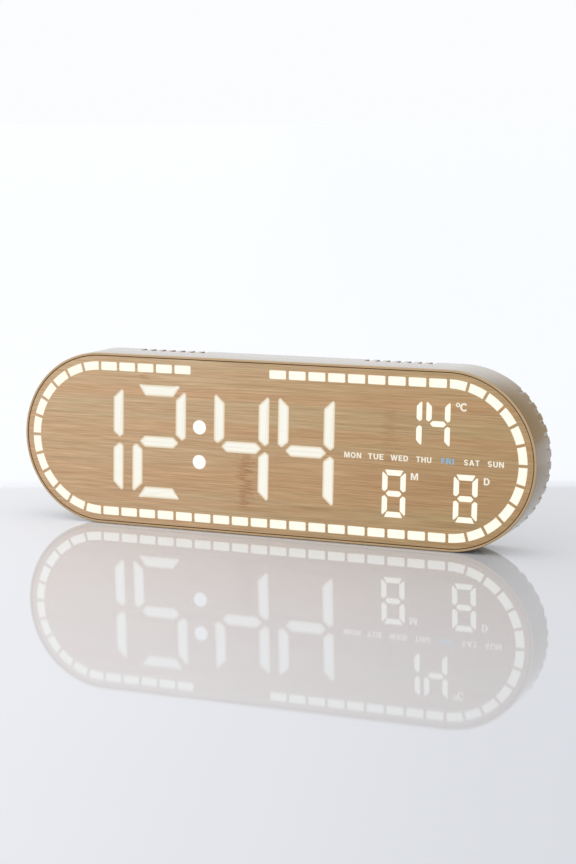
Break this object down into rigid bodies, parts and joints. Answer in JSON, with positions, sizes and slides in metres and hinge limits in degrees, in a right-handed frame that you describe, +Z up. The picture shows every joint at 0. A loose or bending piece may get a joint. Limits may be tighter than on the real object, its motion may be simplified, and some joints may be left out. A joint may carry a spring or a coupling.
{
  "type": "digital alarm clock",
  "caption": "Low stadium-shaped digital alarm clock: bamboo front with light shining through it, thin champagne case, rear cover with push buttons and a battery cap.",
  "frame": {"origin": "middle of the footprint, on the surface the clock stands on", "axes": "+X along the clock towards the viewer's right, +Y from the display to the back, +Z up"},
  "size_m": [0.3, 0.028, 0.0963],
  "materials": {
    "case": "satin champagne-bronze paint on a moulded plastic shell",
    "bamboo": "satin clear-coated bamboo veneer, grain along the length",
    "diffuser": "opal light-spreading sheet",
    "white_moulding": "matt white moulding",
    "white_board": "white solder mask",
    "circuit_board": "green solder mask",
    "rear_cover": "fine spark-eroded texture, dark champagne",
    "battery_cap": "fine matt texture",
    "buttons": "satin moulded plastic",
    "plungers": "natural moulded plastic",
    "black_plastic": "moulded black plastic",
    "connector_plastic": "natural moulded plastic",
    "component_can": "drawn can",
    "cell_steel": "plated steel",
    "socket_steel": "plated steel shell",
    "sensor_epoxy": "epoxy bead",
    "ribbon_film": "flat film cable",
    "screws": "zinc-plated steel",
    "feet": "matt silicone"
  },
  "bodies": {
    "root": {"case_shell": "case", "bamboo_panel": "bamboo", "diffuser_sheet": "diffuser", "light_mask": "white_moulding", "display_board": "white_board", "control_board": "circuit_board", "rear_cover": "rear_cover", "switch_set": "black_plastic", "switch_minus": "black_plastic", "switch_plus": "black_plastic", "switch_alarm": "black_plastic", "switch_light": "black_plastic", "microcontroller": "black_plastic", "led_driver_1": "black_plastic", "led_driver_2": "black_plastic", "buzzer": "black_plastic", "board_connector": "connector_plastic", "display_connector": "connector_plastic", "cell_holder": "connector_plastic", "capacitor": "component_can", "clock_crystal": "component_can", "coin_cell": "cell_steel", "power_socket": "socket_steel", "temperature_sensor": "sensor_epoxy", "ribbon_cable": "ribbon_film", "cover_screw_1": "screws", "cover_screw_2": "screws", "cover_screw_3": "screws", "cover_screw_4": "screws", "cover_screw_5": "screws", "cover_screw_6": "screws", "cover_screw_7": "screws", "cover_screw_8": "screws", "display_screw_1": "screws", "display_screw_2": "screws", "display_screw_3": "screws", "display_screw_4": "screws", "display_screw_5": "screws", "display_screw_6": "screws", "board_screw_1": "screws", "board_screw_2": "screws", "board_screw_3": "screws", "board_screw_4": "screws", "foot_1": "feet", "foot_2": "feet", "foot_3": "feet", "foot_4": "feet"},
    "button_set": {"button_set": "buttons", "plunger_set": "plungers"},
    "button_minus": {"button_minus": "buttons", "plunger_minus": "plungers"},
    "button_plus": {"button_plus": "buttons", "plunger_plus": "plungers"},
    "button_alarm": {"button_alarm": "buttons", "plunger_alarm": "plungers"},
    "button_light": {"button_light": "buttons", "plunger_light": "plungers"},
    "battery_cap": {"battery_cap": "battery_cap"}
  },
  "joints": [
    {"name": "set_press", "type": "slide", "parent": "root", "child": "button_set", "axis": [0, -1, 0], "range_m": [0, 0.0005], "stiffness_N_per_m": 800},
    {"name": "minus_press", "type": "slide", "parent": "root", "child": "button_minus", "axis": [0, -1, 0], "range_m": [0, 0.0005], "stiffness_N_per_m": 800},
    {"name": "plus_press", "type": "slide", "parent": "root", "child": "button_plus", "axis": [0, -1, 0], "range_m": [0, 0.0005], "stiffness_N_per_m": 800},
    {"name": "alarm_press", "type": "slide", "parent": "root", "child": "button_alarm", "axis": [0, -1, 0], "range_m": [0, 0.0005], "stiffness_N_per_m": 800},
    {"name": "light_press", "type": "slide", "parent": "root", "child": "button_light", "axis": [0, -1, 0], "range_m": [0, 0.0005], "stiffness_N_per_m": 800},
    {"name": "cap_turn", "type": "hinge", "parent": "root", "child": "battery_cap", "pos_m": [-0.052, 0.012, 0.04224], "axis": [0, -1, 0], "range_deg": [0, 40]}
  ]
}
